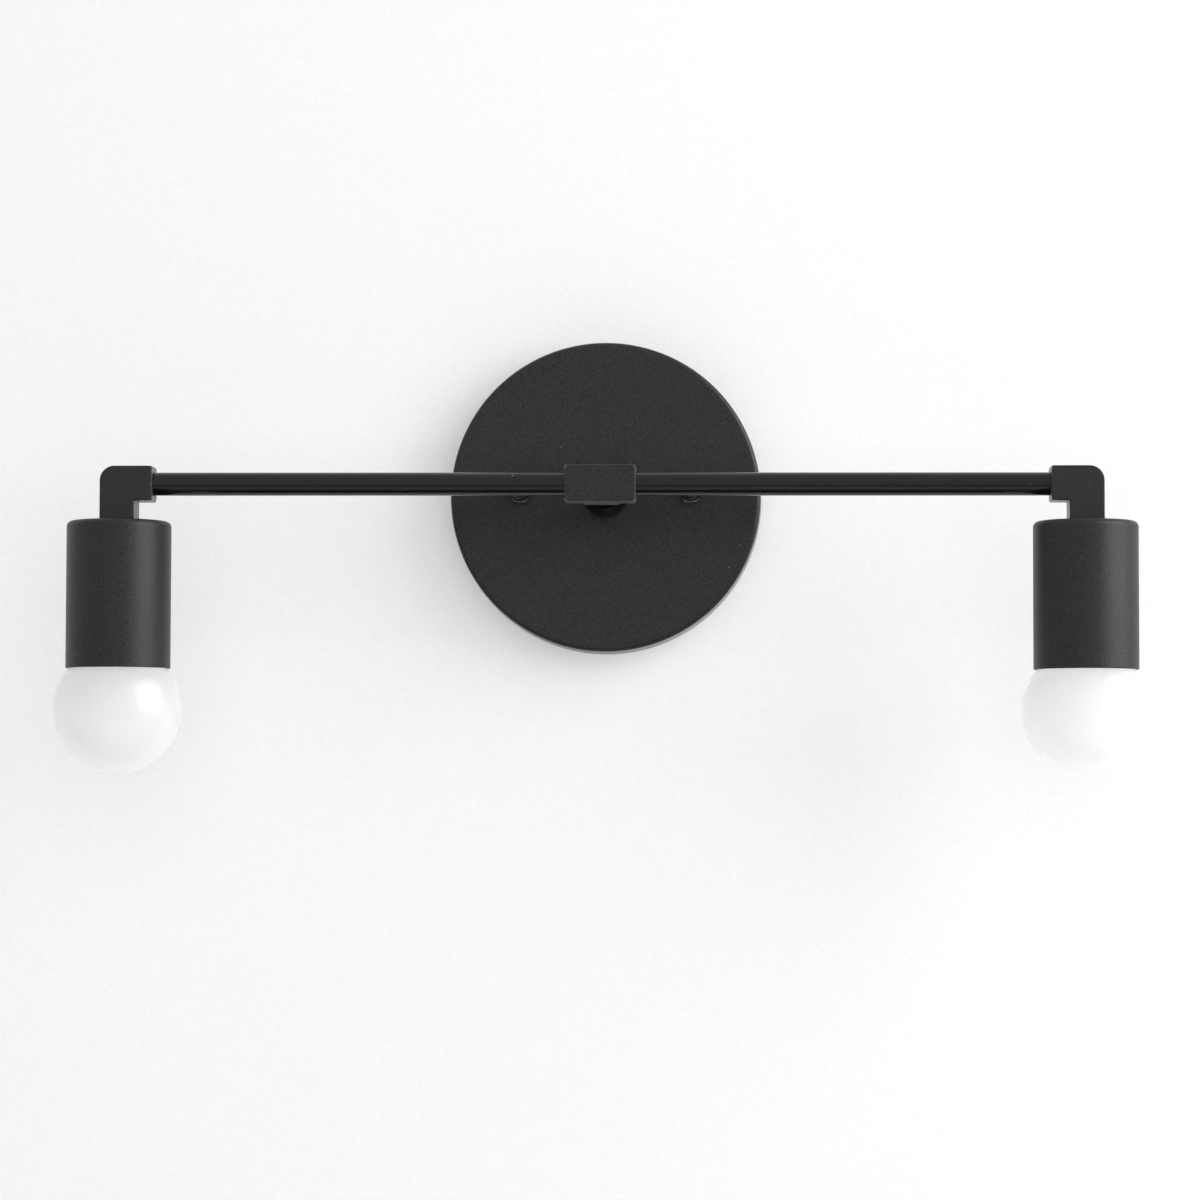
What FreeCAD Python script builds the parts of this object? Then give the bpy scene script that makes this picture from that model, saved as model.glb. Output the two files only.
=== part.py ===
import FreeCAD, Part
import math
import os
import re
import Sketcher

# Vanity light with two down-facing cups on one arm that stands off a round canopy.
# The frame: X to the right along the arm, Z up, the wall at Y = 0 and the light on its -Y side.
# The origin is the centre of the canopy's rim on the wall. All sizes are in millimetres.

# Driving dimensions, each written once; a name that ends in share is a number without a unit
SIZES = {
    # Canopy: a spun steel dish that covers the wall box
    "canopy_diameter": 133.35,
    "canopy_depth": 19.05,
    "canopy_wall": 1.0,
    "canopy_edge_radius": 2.0,
    "canopy_hole_clearance": 0.4,
    # Mounting plate inside the canopy, with slots for the wall box
    "plate_thickness": 1.6,
    "plate_margin": 4.05,
    "plate_opening": 45.0,
    "slot_spacing": 79.4,
    "slot_travel": 9.5,
    "slot_width": 4.6,
    # Studs that carry the canopy, with their nuts
    "stud_spacing": 72.4,
    "stud_rise": 1.6,
    "stud_diameter": 4.17,
    "stud_setback": 0.3,
    "stud_reach": 5.2,
    "stud_hole_clearance": 0.5,
    "stud_nut_flats": 8.73,
    "stud_nut_thickness": 3.2,
    "cap_nut_flats": 8.73,
    "cap_nut_height": 4.4,
    "cap_nut_dome_radius": 3.9,
    "cap_nut_hole_depth": 6.0,
    # Ground screw, ring terminal and bare ground wire
    "ground_reach": 34.0,
    "ground_screw_diameter": 4.8,
    "ground_screw_head": 9.2,
    "ground_head_thickness": 2.4,
    "ground_screw_length": 3.0,
    "driver_slot_width": 1.2,
    "driver_slot_depth": 1.0,
    "ground_wire_diameter": 1.6,
    "lug_thickness": 0.8,
    "lug_diameter": 17.2,
    "lug_barrel_diameter": 2.2,
    "lug_barrel_start": 5.7,
    "lug_reach": 14.0,
    "wire_dip_start_share": 0.33,
    "wire_dip_end_share": 0.56,
    "bend_share": 0.45,
    # Tube stock of the stem and the arms, and the hardware on its thread
    "tube_diameter": 9.525,
    "tube_bore": 7.5,
    "fit_clearance": 0.03,
    "hardware_clearance": 0.15,
    "socket_depth": 6.0,
    "lock_washer_diameter": 13.6,
    "lock_washer_thickness": 0.8,
    "lock_washer_split": 1.0,
    "locknut_flats": 14.3,
    "locknut_thickness": 3.2,
    "thread_showing": 2.0,
    "collar_diameter": 19.05,
    "collar_thickness": 3.0,
    "collar_edge_radius": 0.4,
    # Hub: a square T block in front of the canopy
    "arm_standoff": 85.0,
    "hub_width": 29.0,
    "hub_section": 14.8,
    "hub_depth": 22.4,
    "end_circle_share": 0.61,
    "corner_circle_share": 0.75,
    # Elbows at the arm's ends
    "arm_reach": 197.5,
    "elbow_section": 14.2,
    "elbow_across": 21.4,
    "elbow_drop": 22.4,
    "elbow_corner_radius": 6.0,
    "nipple_bore": 7.1,
    "nipple_depth": 7.0,
    # Cups
    "cup_diameter": 42.7,
    "cup_wall": 0.9,
    "cup_edge_radius": 2.4,
    # Lamp holder inside each cup
    "boss_diameter": 13.4,
    "boss_height": 4.6,
    "bracket_width": 12.0,
    "bracket_thickness": 1.5,
    "bracket_end_margin": 2.1,
    "bracket_screw_diameter": 3.0,
    "bracket_screw_head": 5.4,
    "bracket_head_thickness": 1.8,
    "bracket_screw_length": 8.0,
    "nipple_end_gap": 0.3,
    "holder_clearance": 2.45,
    "holder_screw_margin": 2.6,
    "holder_edge_radius": 1.0,
    "holder_recess": 26.0,
    "holder_recess_depth": 7.8,
    "holder_floor": 4.5,
    "holder_skirt": 27.0,
    "shell_bore": 26.7,
    "shell_wall": 0.5,
    "shell_height": 25.0,
    "shell_opening": 14.8,
    "shell_rivet_reach": 10.0,
    "contact_rivet_reach": 4.2,
    "rivet_diameter": 2.4,
    "rivet_head": 4.4,
    "rivet_head_thickness": 1.2,
    "rivet_foot_thickness": 0.6,
    "contact_thickness": 0.6,
    "contact_width": 6.0,
    "contact_length": 10.8,
    "contact_drop": 1.1,
    # Globe bulb with a medium screw base
    "globe_diameter": 52.4,
    "globe_clearance": 0.345,
    "glass_wall": 0.8,
    "shoulder_dip": 0.4,
    "neck_diameter": 24.8,
    "neck_length": 12.0,
    "base_diameter": 26.0,
    "base_wall": 0.4,
    "base_height": 20.5,
    "insulator_height": 3.3,
    "insulator_top": 11.2,
    "tip_diameter": 9.6,
    "tip_height": 2.2,
    "tip_edge_radius": 1.0,
    "contact_gap": 0.3,
    "mount_flare": 22.4,
    "mount_post": 8.0,
    "mount_length": 22.0,
    "flare_height": 10.0,
    "support_wire_diameter": 0.7,
    "support_wire_gap": 0.2,
    "support_wire_spread": 5.0,
    "filament_drop": 2.0,
    "filament_radius": 9.0,
    "filament_thickness": 0.6,
    # Insulated leads from the lamp holders to the splices in the canopy
    "lead_diameter": 2.0,
    "lead_offset": 1.3,
    "canopy_bend_radius": 4.0,
    "hub_bend_radius": 6.0,
    "elbow_bend_radius": 5.0,
    "holder_bend_radius": 4.0,
    "lead_end_gap": 0.95,
    "lead_end_lean": 0.9,
    "splice_standoff": 7.0,
    "splice_reach": 17.0,
    "splice_insert": 9.0,
    "wire_nut_diameter": 10.0,
    "wire_nut_tip": 7.0,
    "wire_nut_skirt": 4.0,
    "wire_nut_length": 18.0,
    "wire_nut_bore": 7.0,
    "wire_nut_depth": 12.0,
}

SIDES = (("left", -1), ("right", 1))

doc = FreeCAD.newDocument("VanityLight")
sheet = doc.addObject("Spreadsheet::Sheet", "sizes")
for row, (alias, number) in enumerate(SIZES.items(), start=1):
    sheet.set(f"A{row}", alias)
    sheet.set(f"B{row}", str(number))
    sheet.setAlias(f"B{row}", alias)
doc.recompute()

# Local Z points out of the wall in a piece turned this way, and local Y points up
FACING = FreeCAD.Rotation(FreeCAD.Vector(1, 0, 0), 90)
# Local Z runs along the arm
SIDEWAYS = FreeCAD.Rotation(FreeCAD.Vector(0, 1, 0), 90)
UPRIGHT = FreeCAD.Rotation()
OVERTURNED = FreeCAD.Rotation(FreeCAD.Vector(1, 0, 0), 180)

nodes = []


def in_sheet(expression):
    """Puts the sheet's name in front of each alias in an expression."""
    return re.sub(r"[a-z_]+", lambda word: f"sizes.{word[0]}" if word[0] in SIZES else word[0], expression)


def value(expression):
    """The number that an expression of aliases stands for."""
    return float(sheet.evalExpression(in_sheet(expression)))


def bind(item, **properties):
    """Ties properties of an object to expressions of aliases."""
    for name, expression in properties.items():
        item.setExpression(name, in_sheet(expression))


def place(item, x="0", y="0", z="0", turn=UPRIGHT):
    """Turns an object and ties its position to expressions."""
    item.Placement = FreeCAD.Placement(FreeCAD.Vector(), turn)
    for axis, expression in (("x", x), ("y", y), ("z", z)):
        item.setExpression(f"Placement.Base.{axis}", in_sheet(expression))


def node(item, label):
    """Names an object as one sub-part of the light."""
    item.Label = label
    nodes.append(item)
    return item


def new_body(label):
    """An empty body that is a sub-part of its own."""
    return node(doc.addObject("PartDesign::Body", label), label)


def new_sketch(body, plane):
    """A sketch on one of the body's own origin planes."""
    sketch = body.newObject("Sketcher::SketchObject", f"{body.Name}_sketch")
    support = next(item for item in body.Origin.OriginFeatures if item.Role == plane)
    sketch.AttachmentSupport = [(support, "")]
    sketch.MapMode = "FlatFace"
    return sketch


def pin_point(sketch, geometry, point, across, up):
    """Fixes one point of a sketch at two expressions from its origin."""
    for kind, axis, expression in (("DistanceX", -2, across), ("DistanceY", -1, up)):
        if expression == "0":
            sketch.addConstraint(Sketcher.Constraint("PointOnObject", geometry, point, axis))
        else:
            row = sketch.addConstraint(
                Sketcher.Constraint(kind, -1, 1, geometry, point, value(expression)))
            sketch.setExpression(f"Constraints[{row}]", in_sheet(expression))


def add_outline(sketch, corners):
    """Adds a closed outline whose corners are pairs of expressions."""
    places = [FreeCAD.Vector(value(across), value(up), 0) for across, up in corners]
    first = sketch.GeometryCount
    count = len(corners)
    for index in range(count):
        sketch.addGeometry(Part.LineSegment(places[index], places[(index + 1) % count]), False)
    for index in range(count):
        following = first + (index + 1) % count
        sketch.addConstraint(Sketcher.Constraint("Coincident", first + index, 2, following, 1))
    for index, (across, up) in enumerate(corners):
        pin_point(sketch, first + index, 1, across, up)


def add_circle(sketch, across, up, radius):
    """Adds a circle at two expressions, with its radius as a third."""
    centre = FreeCAD.Vector(value(across), value(up), 0)
    circle = sketch.addGeometry(Part.Circle(centre, FreeCAD.Vector(0, 0, 1), value(radius)), False)
    row = sketch.addConstraint(Sketcher.Constraint("Radius", circle, value(radius)))
    sketch.setExpression(f"Constraints[{row}]", in_sheet(radius))
    pin_point(sketch, circle, 3, across, up)


def revolve(body, corners, kind="Revolution", plane="XZ_Plane", axis="V_Axis"):
    """Turns one outline, or a list of them, about an axis of the sketch."""
    sketch = new_sketch(body, plane)
    outlines = corners if isinstance(corners[0], list) else [corners]
    for outline in outlines:
        add_outline(sketch, outline)
    feature = body.newObject(f"PartDesign::{kind}", f"{body.Name}_{kind.lower()}")
    feature.Profile = sketch
    feature.ReferenceAxis = (sketch, [axis])
    feature.Angle = 360
    sketch.Visibility = False
    return feature


def pad_outline(body, corners, thickness, plane):
    """Thickens an outline evenly to both sides of its plane."""
    sketch = new_sketch(body, plane)
    add_outline(sketch, corners)
    feature = body.newObject("PartDesign::Pad", f"{body.Name}_pad")
    feature.Profile = sketch
    feature.SideType = "Symmetric"
    bind(feature, Length=thickness)
    return feature


def drill(body, circles, depth=None, boxes=()):
    """Cuts round holes, and any straight slots, down from the body's own XY plane."""
    doc.recompute()
    before = body.Shape.Volume
    sketch = new_sketch(body, "XY_Plane")
    for across, up, radius in circles:
        add_circle(sketch, across, up, radius)
    for corners in boxes:
        add_outline(sketch, corners)
    feature = body.newObject("PartDesign::Pocket", f"{body.Name}_holes")
    feature.Profile = sketch
    if depth is None:
        feature.Type = "ThroughAll"
        feature.SideType = "Symmetric"
    else:
        bind(feature, Length=depth)
    doc.recompute()
    if body.Shape.Volume >= before:
        raise ValueError(f"the holes of {body.Label} cut nothing")
    return feature


def round_edges(body, radius, wanted):
    """Rounds the edges of the body's last feature that a test picks out."""
    doc.recompute()
    base = body.Tip
    names = [f"Edge{index}" for index, edge in enumerate(base.Shape.Edges, start=1) if wanted(edge)]
    if not names:
        raise ValueError(f"no edge of {body.Label} to round")
    feature = body.newObject("PartDesign::Fillet", f"{body.Name}_fillet")
    feature.Base = (base, names)
    bind(feature, Radius=radius)
    return feature


def circle_at(radius, height):
    """A test for the round edge with this radius at this height."""
    reach = value(radius)
    level = value(height)

    def wanted(edge):
        box = edge.BoundBox
        flat = math.isclose(box.ZMin, level, abs_tol=1e-6) and math.isclose(box.ZMax, level, abs_tol=1e-6)
        return flat and math.isclose(box.XMax, reach, rel_tol=1e-6)

    return wanted


def primitive(kind, **properties):
    """A Part primitive with its sizes tied to expressions."""
    item = doc.addObject(f"Part::{kind}", kind)
    bind(item, **properties)
    return item


def cylinder(radius, height, **where):
    """A cylinder along local Z."""
    item = primitive("Cylinder", Radius=radius, Height=height)
    place(item, **where)
    return item


def cone(low_radius, top_radius, height, **where):
    """A cone along local Z."""
    item = primitive("Cone", Radius1=low_radius, Radius2=top_radius, Height=height)
    place(item, **where)
    return item


def fuse(*shapes):
    """Joins shapes into one solid."""
    item = doc.addObject("Part::MultiFuse", "Fusion")
    item.Shapes = list(shapes)
    return item


def combine(kind, base, tool):
    """Cuts one shape with another, or keeps what they share."""
    item = doc.addObject(f"Part::{kind}", kind)
    item.Base = base
    item.Tool = tool
    return item


def group(label, items):
    """Identical pieces that stay separate solids in one node."""
    item = doc.addObject("Part::Compound", label)
    item.Links = items
    return node(item, label)


def ring(label, inner_radius, outer_radius, low, top, **where):
    """A plain ring or tube between two heights on local Z."""
    body = new_body(label)
    revolve(body, [(inner_radius, low), (outer_radius, low), (outer_radius, top), (inner_radius, top)])
    place(body, **where)
    return body


def lock_washer(label, **where):
    """A split spring washer that sits on the tube's thread, with its low face at local zero."""
    body = ring(label, WASHER_HOLE, "lock_washer_diameter / 2", "0", "lock_washer_thickness", **where)
    drill(body, [], boxes=[[
        ("0", "-lock_washer_split / 2"), ("lock_washer_diameter", "-lock_washer_split / 2"),
        ("lock_washer_diameter", "lock_washer_split / 2"), ("0", "lock_washer_split / 2")]])
    return body


def hex_nut(flats, thickness, hole_radius, **where):
    """A hexagon nut whose corners are chamfered on its far side."""
    blank = primitive("Prism", Circumradius=f"{flats} / 2 / cos(30)", Height=thickness)
    blank.Polygon = 6
    bevel = cone(f"{flats} / 2 + {thickness} * tan(60)", f"{flats} / 2", thickness)
    nut = combine("Cut", combine("Common", blank, bevel), cylinder(hole_radius, thickness))
    place(nut, **where)
    return nut


def tube_along(label, points, radii, diameter):
    """A round wire along straight runs that tangent arcs join at the given radii."""
    corners = [FreeCAD.Vector(*point) for point in points]
    edges = []
    start = corners[0]
    length = 0
    for before, corner, after, radius in zip(corners, corners[1:], corners[2:], radii):
        inward = (corner - before).normalize()
        outward = (after - corner).normalize()
        turn = inward.getAngle(outward)
        reach = radius * math.tan(turn / 2)
        enter = corner - inward * reach
        leave = corner + outward * reach
        centre_way = (outward - inward).normalize()
        middle = corner + centre_way * (radius / math.cos(turn / 2) - radius)
        edges.append(Part.LineSegment(start, enter).toShape())
        edges.append(Part.Arc(enter, middle, leave).toShape())
        length += start.distanceToPoint(enter) + radius * turn
        start = leave
    edges.append(Part.LineSegment(start, corners[-1]).toShape())
    length += start.distanceToPoint(corners[-1])
    path = Part.Wire(edges)
    section = Part.Wire(Part.Circle(corners[0], corners[1] - corners[0], diameter / 2).toShape())
    solid = path.makePipeShell([section], True, False)
    wire = node(doc.addObject("Part::Feature", label), label)
    wire.Shape = solid
    expected = length * math.pi * diameter ** 2 / 4
    print(f"{label}: radii {[round(radius, 2) for radius in radii]}, "
          f"length {length:.1f}, volume ratio {solid.Volume / expected:.4f}")
    return wire


# Seats in front of the wall, as distances from it
TUBE_RADIUS = "(tube_diameter / 2)"
THREAD_HOLE = f"({TUBE_RADIUS} + fit_clearance)"
WASHER_HOLE = f"({TUBE_RADIUS} + hardware_clearance)"
CANOPY_INSIDE = "(canopy_depth - canopy_wall)"
STEM_WASHER_BACK = f"({CANOPY_INSIDE} - lock_washer_thickness)"
LUG_BACK = f"({STEM_WASHER_BACK} - lug_thickness)"
STEM_NUT_BACK = f"({LUG_BACK} - locknut_thickness)"
STEM_BACK = f"({STEM_NUT_BACK} - thread_showing)"
HUB_BACK = "(arm_standoff + hub_section / 2 - hub_depth)"
STEM_FRONT = f"({HUB_BACK} + socket_depth)"

# Seats along the arm, as distances from its middle
ARM_INNER_END = "(hub_width / 2 - socket_depth)"
ARM_OUTER_END = "(arm_reach - elbow_across + elbow_section / 2 + socket_depth)"

# Heights of the bulb's pieces over the centre of its globe
GLOBE_RADIUS = "(globe_diameter / 2)"
BASE_RIM = f"({GLOBE_RADIUS} - shoulder_dip)"
BASE_TOP = f"({BASE_RIM} + base_height)"
TIP_LOW = f"({BASE_TOP} + insulator_height)"
TIP_TOP = f"({TIP_LOW} + tip_height)"

# Seats below the arm's axis, as heights
ELBOW_FOOT = "(elbow_section / 2 - elbow_drop)"
NIPPLE_TOP = f"({ELBOW_FOOT} + nipple_depth)"
CUP_CEILING = f"({ELBOW_FOOT} - cup_wall)"
CUP_WASHER_LOW = f"({CUP_CEILING} - lock_washer_thickness)"
CUP_NUT_LOW = f"({CUP_WASHER_LOW} - locknut_thickness)"
BRACKET_LOW = f"({CUP_NUT_LOW} - boss_height - bracket_thickness)"
NIPPLE_LOW = f"({BRACKET_LOW} + nipple_end_gap)"
FLOOR_TOP = f"({BRACKET_LOW} - holder_recess_depth)"
FLOOR_LOW = f"({FLOOR_TOP} - holder_floor)"
HOLDER_MOUTH = f"({FLOOR_LOW} - holder_skirt)"
RIVET_TOP = f"({FLOOR_TOP} + rivet_head_thickness)"
TIP_HEIGHT = f"({FLOOR_LOW} - contact_drop - contact_thickness - contact_gap)"
GLOBE_HEIGHT = f"({TIP_HEIGHT} - {TIP_TOP})"

# Room across the cup: the ball just clears the mouth, and the lamp holder has air around it
CUP_INSIDE = "(cup_diameter / 2 - cup_wall)"
CUP_MOUTH = f"({GLOBE_HEIGHT} + sqrt(pow({GLOBE_RADIUS}; 2) - pow({CUP_INSIDE} - globe_clearance; 2)))"
HOLDER_RADIUS = f"({CUP_INSIDE} - holder_clearance)"
BRACKET_SCREW_REACH = f"({HOLDER_RADIUS} - holder_screw_margin)"
BRACKET_END = f"({BRACKET_SCREW_REACH} + bracket_end_margin)"


def make_canopy():
    """The spun dish, open to the wall, with a hole for the stem and one for each stud."""
    body = new_body("canopy")
    hole = f"{TUBE_RADIUS} + canopy_hole_clearance"
    revolve(body, [
        (hole, CANOPY_INSIDE), ("canopy_diameter / 2 - canopy_wall", CANOPY_INSIDE),
        ("canopy_diameter / 2 - canopy_wall", "0"), ("canopy_diameter / 2", "0"),
        ("canopy_diameter / 2", "canopy_depth"), (hole, "canopy_depth")])
    round_edges(body, "canopy_edge_radius", circle_at("canopy_diameter / 2", "canopy_depth"))
    round_edges(body, "canopy_edge_radius - canopy_wall",
                circle_at("canopy_diameter / 2 - canopy_wall", CANOPY_INSIDE))
    drill(body, [(f"{sign} * stud_spacing / 2", "stud_rise", "stud_diameter / 2 + stud_hole_clearance")
                 for name, sign in SIDES])
    place(body, turn=FACING)


def make_mounting_plate():
    """The flat steel plate on the wall box: upright slots, stud holes and a ground screw hole."""
    body = new_body("mounting_plate")
    rim = "((slot_spacing + slot_travel + slot_width) / 2 + plate_margin)"
    revolve(body, [("plate_opening / 2", "0"), (rim, "0"), (rim, "plate_thickness"),
                   ("plate_opening / 2", "plate_thickness")])
    stud_holes = [(f"{sign} * stud_spacing / 2", "stud_rise", "stud_diameter / 2 + fit_clearance")
                  for name, sign in SIDES]
    ground_hole = ("-ground_reach * cos(45)", "-ground_reach * sin(45)",
                   "ground_screw_diameter / 2 + fit_clearance")
    drill(body, stud_holes + [ground_hole])
    slot_boxes = []
    slot_ends = []
    for sign in (-1, 1):
        near = f"{sign} * (slot_spacing - slot_travel) / 2"
        far = f"{sign} * (slot_spacing + slot_travel) / 2"
        slot_boxes.append([("-slot_width / 2", near), ("slot_width / 2", near),
                           ("slot_width / 2", far), ("-slot_width / 2", far)])
        slot_ends += [("0", near, "slot_width / 2"), ("0", far, "slot_width / 2")]
    drill(body, [], boxes=slot_boxes)
    drill(body, slot_ends)
    place(body, turn=FACING)


def make_studs():
    """The two threaded studs on the plate, each with a plain nut behind the canopy."""
    studs = []
    nuts = []
    for name, sign in SIDES:
        across = f"{sign} * stud_spacing / 2"
        studs.append(cylinder(
            "stud_diameter / 2", "canopy_depth + stud_reach - stud_setback",
            x=across, y="-stud_setback", z="stud_rise", turn=FACING))
        nuts.append(hex_nut(
            "stud_nut_flats", "stud_nut_thickness", "stud_diameter / 2 + fit_clearance",
            x=across, y="-plate_thickness", z="stud_rise", turn=FACING))
    group("canopy_studs", studs)
    group("stud_nuts", nuts)


def driver_slot(head, top):
    """The straight slot for a screwdriver across a screw's head, whose top is at this height."""
    slot = primitive("Box", Length=head, Width="driver_slot_width", Height="driver_slot_depth")
    place(slot, x=f"-{head} / 2", y="-driver_slot_width / 2", z=f"{top} - driver_slot_depth")
    return slot


def make_cap_nut(side, sign):
    """The domed nut that holds the canopy on its stud."""
    blank = primitive("Prism", Circumradius="cap_nut_flats / 2 / cos(30)", Height="cap_nut_height")
    blank.Polygon = 6
    bevel = cone("cap_nut_flats / 2 + cap_nut_height * tan(60)", "cap_nut_flats / 2", "cap_nut_height")
    dome = primitive("Sphere", Radius="cap_nut_dome_radius")
    place(dome, z="cap_nut_height")
    solid = fuse(combine("Common", blank, bevel), dome)
    hole = cylinder("stud_diameter / 2 + fit_clearance", "cap_nut_hole_depth")
    nut = node(combine("Cut", solid, hole), f"cap_nut_{side}")
    place(nut, x=f"{sign} * stud_spacing / 2", y="-canopy_depth", z="stud_rise", turn=FACING)


def make_ground_parts():
    """The ground screw in the plate, the ring terminal on the stem and the bare wire between them."""
    head_low = "(plate_thickness + ground_wire_diameter)"
    shank = cylinder("ground_screw_diameter / 2", "ground_screw_length", z="-ground_screw_length")
    head = cylinder("ground_screw_head / 2", "ground_head_thickness")
    screw = combine("Cut", fuse(shank, head), driver_slot("ground_screw_head", "ground_head_thickness"))
    node(screw, "ground_screw")
    place(screw, x="-ground_reach * cos(45)", y=f"-{head_low}", z="-ground_reach * sin(45)", turn=FACING)

    eye = cylinder("lug_diameter / 2", "lug_thickness", z=LUG_BACK)
    barrel = cylinder("lug_barrel_diameter / 2", "lug_reach - lug_barrel_start", turn=SIDEWAYS,
                      x="lug_barrel_start", z=f"{LUG_BACK} + lug_thickness / 2")
    eye_hole = cylinder(WASHER_HOLE, "lug_barrel_diameter * 2", z=f"{LUG_BACK} - lug_barrel_diameter")
    stem_side = cylinder("lug_diameter / 2", "lug_barrel_diameter", z=f"{LUG_BACK} + lug_thickness")
    nut_side = cylinder("lug_diameter / 2", "lug_barrel_diameter", z=f"{LUG_BACK} - lug_barrel_diameter")
    lug = combine("Cut", fuse(eye, barrel), fuse(eye_hole, stem_side, nut_side))
    node(lug, "ground_lug")
    toward_screw = FreeCAD.Rotation(FreeCAD.Vector(0, 0, 1), 225)
    place(lug, turn=FACING.multiply(toward_screw))

    def on_ray(reach, depth):
        share = math.sqrt(0.5)
        return (-value(reach) * share, -value(depth), -value(reach) * share)

    under_head = "plate_thickness + ground_wire_diameter / 2"
    lug_level = f"{LUG_BACK} + lug_thickness / 2"
    points = [
        on_ray("lug_reach", lug_level),
        on_ray("lug_reach + (ground_reach - lug_reach) * wire_dip_start_share", lug_level),
        on_ray("lug_reach + (ground_reach - lug_reach) * wire_dip_end_share", under_head),
        on_ray("ground_reach - ground_screw_diameter / 2 - hardware_clearance", under_head)]
    tube_along("ground_wire", points, even_radii(points), value("ground_wire_diameter"))


def even_radii(points):
    """The largest radii that the runs beside each corner allow, with some straight left."""
    corners = [FreeCAD.Vector(*point) for point in points]
    radii = []
    for before, corner, after in zip(corners, corners[1:], corners[2:]):
        turn = (corner - before).getAngle(after - corner)
        shorter = min(before.distanceToPoint(corner), corner.distanceToPoint(after))
        radii.append(value("bend_share") * shorter / math.tan(turn / 2))
    return radii


def make_stem():
    """The stem tube, its collar on the canopy, and its washer and locknut inside."""
    ring("stem_tube", "tube_bore / 2", TUBE_RADIUS, STEM_BACK, STEM_FRONT, turn=FACING)
    collar = ring("stem_collar", THREAD_HOLE, "collar_diameter / 2", "canopy_depth",
                  "canopy_depth + collar_thickness", turn=FACING)
    round_edges(collar, "collar_edge_radius",
                circle_at("collar_diameter / 2", "canopy_depth + collar_thickness"))
    lock_washer("stem_lock_washer", y=f"-{STEM_WASHER_BACK}", turn=FACING)
    nut = hex_nut("locknut_flats", "locknut_thickness", THREAD_HOLE,
                  y=f"-{LUG_BACK}", turn=FreeCAD.Rotation(FreeCAD.Vector(1, 0, 0), -90))
    node(nut, "stem_locknut")


def end_cone(level, section, way, axis):
    """The outline that turns the corners off a square bar's end; way points into the bar."""
    small = f"{section} * end_circle_share"
    large = f"{section} * corner_circle_share"
    depth = f"{way} * ({large} - {small})"
    outline = [(small, level), (large, level), (large, f"{level} + {depth}")]
    return outline if axis == "V_Axis" else [(up, across) for across, up in outline]


def make_hub():
    """The T block: both arms and the stem meet in it, with a wire way through."""
    body = new_body("hub_block")
    half = "hub_section / 2"
    tail = f"hub_depth - {half}"
    pad_outline(body, [
        ("-hub_width / 2", f"-{half}"), ("hub_width / 2", f"-{half}"), ("hub_width / 2", half),
        (half, half), (half, tail), (f"-{half}", tail), (f"-{half}", half),
        ("-hub_width / 2", half)], "hub_section", "XY_Plane")
    revolve(body, [end_cone("hub_width / 2", "hub_section", "-1", "H_Axis"),
                   end_cone("-hub_width / 2", "hub_section", "1", "H_Axis")],
            "Groove", "XY_Plane", "H_Axis")
    revolve(body, end_cone(tail, "hub_section", "-1", "V_Axis"), "Groove", "XY_Plane", "V_Axis")
    seat = ARM_INNER_END
    revolve(body, [
        ("-hub_width / 2", "0"), ("hub_width / 2", "0"), ("hub_width / 2", THREAD_HOLE),
        (seat, THREAD_HOLE), (seat, "tube_bore / 2"), (f"-{seat}", "tube_bore / 2"),
        (f"-{seat}", THREAD_HOLE), ("-hub_width / 2", THREAD_HOLE)], "Groove", "XY_Plane", "H_Axis")
    revolve(body, [
        ("0", "0"), ("tube_bore / 2", "0"), ("tube_bore / 2", f"{tail} - socket_depth"),
        (THREAD_HOLE, f"{tail} - socket_depth"), (THREAD_HOLE, tail), ("0", tail)],
        "Groove", "XY_Plane", "V_Axis")
    place(body, y="-arm_standoff")


def make_arm(side, sign):
    """One arm tube from the hub to its elbow."""
    ring(f"arm_tube_{side}", "tube_bore / 2", TUBE_RADIUS, f"{sign} * {ARM_INNER_END}",
         f"{sign} * {ARM_OUTER_END}", y="-arm_standoff", turn=SIDEWAYS)


def make_elbow(side, sign):
    """The square elbow: one leg takes the arm, the other drops to the cup."""
    body = new_body(f"elbow_{side}")
    inward = -sign
    half = "elbow_section / 2"
    arm_end = f"(elbow_across - {half})"
    pad_outline(body, [
        (f"{sign} * {half}", half), (f"{inward} * {arm_end}", half),
        (f"{inward} * {arm_end}", f"-{half}"), (f"{inward} * {half}", f"-{half}"),
        (f"{inward} * {half}", ELBOW_FOOT), (f"{sign} * {half}", ELBOW_FOOT)],
        "elbow_section", "XZ_Plane")
    corner = value(half)

    def outer_corner(edge):
        box = edge.BoundBox
        across = math.isclose(box.XMin * sign, corner, abs_tol=1e-4)
        return across and math.isclose(box.XMax, box.XMin, abs_tol=1e-4) \
            and math.isclose(box.ZMin, corner, abs_tol=1e-4) and math.isclose(box.ZMax, corner, abs_tol=1e-4)

    round_edges(body, "elbow_corner_radius", outer_corner)
    revolve(body, end_cone(f"{inward} * {arm_end}", "elbow_section", str(sign), "H_Axis"),
            "Groove", axis="H_Axis")
    revolve(body, end_cone(ELBOW_FOOT, "elbow_section", "1", "V_Axis"), "Groove")
    seat = f"({arm_end} - socket_depth)"
    revolve(body, [
        (f"{sign} * tube_bore / 2", "0"), (f"{inward} * {arm_end}", "0"),
        (f"{inward} * {arm_end}", THREAD_HOLE), (f"{inward} * {seat}", THREAD_HOLE),
        (f"{inward} * {seat}", "tube_bore / 2"), (f"{sign} * tube_bore / 2", "tube_bore / 2")],
        "Groove", axis="H_Axis")
    revolve(body, [
        ("0", "tube_bore / 2"), ("0", ELBOW_FOOT), (THREAD_HOLE, ELBOW_FOOT),
        (THREAD_HOLE, NIPPLE_TOP), ("tube_bore / 2", NIPPLE_TOP), ("tube_bore / 2", "tube_bore / 2")],
        "Groove")
    place(body, x=f"{sign} * arm_reach", y="-arm_standoff")


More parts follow.
